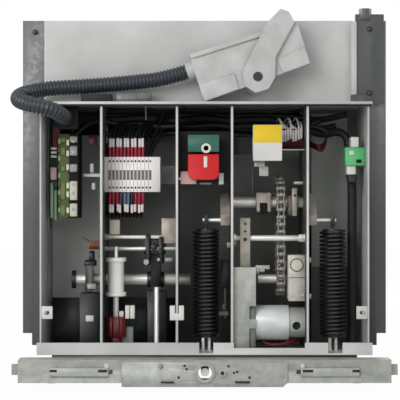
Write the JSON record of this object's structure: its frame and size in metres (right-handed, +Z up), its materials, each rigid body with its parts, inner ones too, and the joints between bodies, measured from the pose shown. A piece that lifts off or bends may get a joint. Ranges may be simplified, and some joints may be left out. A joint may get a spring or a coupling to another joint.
{
  "type": "vacuum circuit breaker",
  "caption": "Withdrawable medium-voltage vacuum circuit breaker on its truck, front cover off, with its control plug parked on the roof.",
  "frame": {"origin": "on the floor, under the middle of the breaker's breadth and depth", "axes": "+X right as one faces the mechanism, +Y back towards the contacts, +Z up"},
  "size_m": [0.6551, 0.6153, 0.657],
  "materials": {
    "pale_painted_sheet": "satin powder coat",
    "grey_zinc_sheet": "zinc-coated sheet, dull",
    "interior_sheet": "dark grey paint",
    "bright_zinc": "yellow-tinted zinc plate",
    "ground_steel": "ground steel",
    "black_steel": "black oxide",
    "chain_steel": "oiled steel",
    "cast_aluminium": "bead blasted",
    "warm_grey_steel": "electroplated steel",
    "green_plastic": "moulded",
    "red_plastic": "moulded",
    "yellow_plastic": "moulded",
    "white_plastic": "moulded",
    "relay_green": "moulded",
    "olive_laminate": "laminate",
    "black_nylon": "corrugated nylon",
    "black_rubber": "matte",
    "hood_grey": "painted die casting",
    "epoxy_resin": "cast epoxy",
    "silvered_copper": "silver plated"
  },
  "bodies": {
    "frame": {"auxiliary_switch": "olive_laminate", "back_plate": "interior_sheet", "button_frame": "black_steel", "centre_plate": "warm_grey_steel", "charge_indicator": "yellow_plastic", "closing_spring_left": "black_steel", "closing_spring_right": "black_steel", "conduit": "black_nylon", "conduit_saddle": "black_rubber", "cross_rods": "ground_steel", "crossbar": "warm_grey_steel", "damper": "white_plastic", "drive_chain": "chain_steel", "floor_tray": "pale_painted_sheet", "gearbox": "bright_zinc", "gland_bracket": "grey_zinc_sheet", "guide_post": "grey_zinc_sheet", "left_side_wall": "grey_zinc_sheet", "left_wing": "grey_zinc_sheet", "lever_plate": "bright_zinc", "lower_contact_arms": "silvered_copper", "main_shaft": "ground_steel", "motor": "cast_aluminium", "motor_bracket": "warm_grey_steel", "opening_spring_rod": "ground_steel", "partition_1": "pale_painted_sheet", "partition_2": "pale_painted_sheet", "partition_3": "pale_painted_sheet", "partition_4": "pale_painted_sheet", "plug_housing": "hood_grey", "plug_pins": "ground_steel", "pole_1": "epoxy_resin", "pole_2": "epoxy_resin", "pole_3": "epoxy_resin", "racking_screw": "ground_steel", "relay": "relay_green", "right_side_wall": "grey_zinc_sheet", "right_wing": "grey_zinc_sheet", "roof_block": "pale_painted_sheet", "roof_plate": "pale_painted_sheet", "spring_feet": "ground_steel", "spring_hooks": "ground_steel", "sprockets": "chain_steel", "stop_buffer": "white_plastic", "storage_shaft": "bright_zinc", "switch_bracket": "pale_painted_sheet", "terminal_block": "white_plastic", "truck_deck": "grey_zinc_sheet", "truck_rails": "grey_zinc_sheet", "upper_contact_arms": "silvered_copper", "upper_sheet": "pale_painted_sheet", "wheels": "black_nylon", "wiring_harness": "black_rubber"},
    "open_button": {"open_button": "green_plastic"},
    "close_button": {"close_button": "red_plastic"},
    "plug_lever": {"plug_lever": "hood_grey"},
    "left_latch": {"left_latch": "ground_steel"},
    "right_latch": {"right_latch": "ground_steel"}
  },
  "joints": [
    {"name": "open_button_press", "type": "slide", "parent": "frame", "child": "open_button", "axis": [0, 1, 0], "range_m": [0, 0.005], "stiffness_N_per_m": 600, "springref_m": -0.001},
    {"name": "close_button_press", "type": "slide", "parent": "frame", "child": "close_button", "axis": [0, 1, 0], "range_m": [0, 0.005], "stiffness_N_per_m": 600, "springref_m": -0.001},
    {"name": "plug_lever_swing", "type": "hinge", "parent": "frame", "child": "plug_lever", "pos_m": [0.091, -0.218, 0.53277], "axis": [0, -1, 0], "range_deg": [0, 80]},
    {"name": "left_latch_slide", "type": "slide", "parent": "frame", "child": "left_latch", "axis": [1, 0, 0], "range_m": [0, 0.012], "stiffness_N_per_m": 400, "springref_m": -0.004},
    {"name": "right_latch_slide", "type": "slide", "parent": "frame", "child": "right_latch", "axis": [-1, 0, 0], "range_m": [0, 0.012], "stiffness_N_per_m": 400, "springref_m": -0.004}
  ]
}
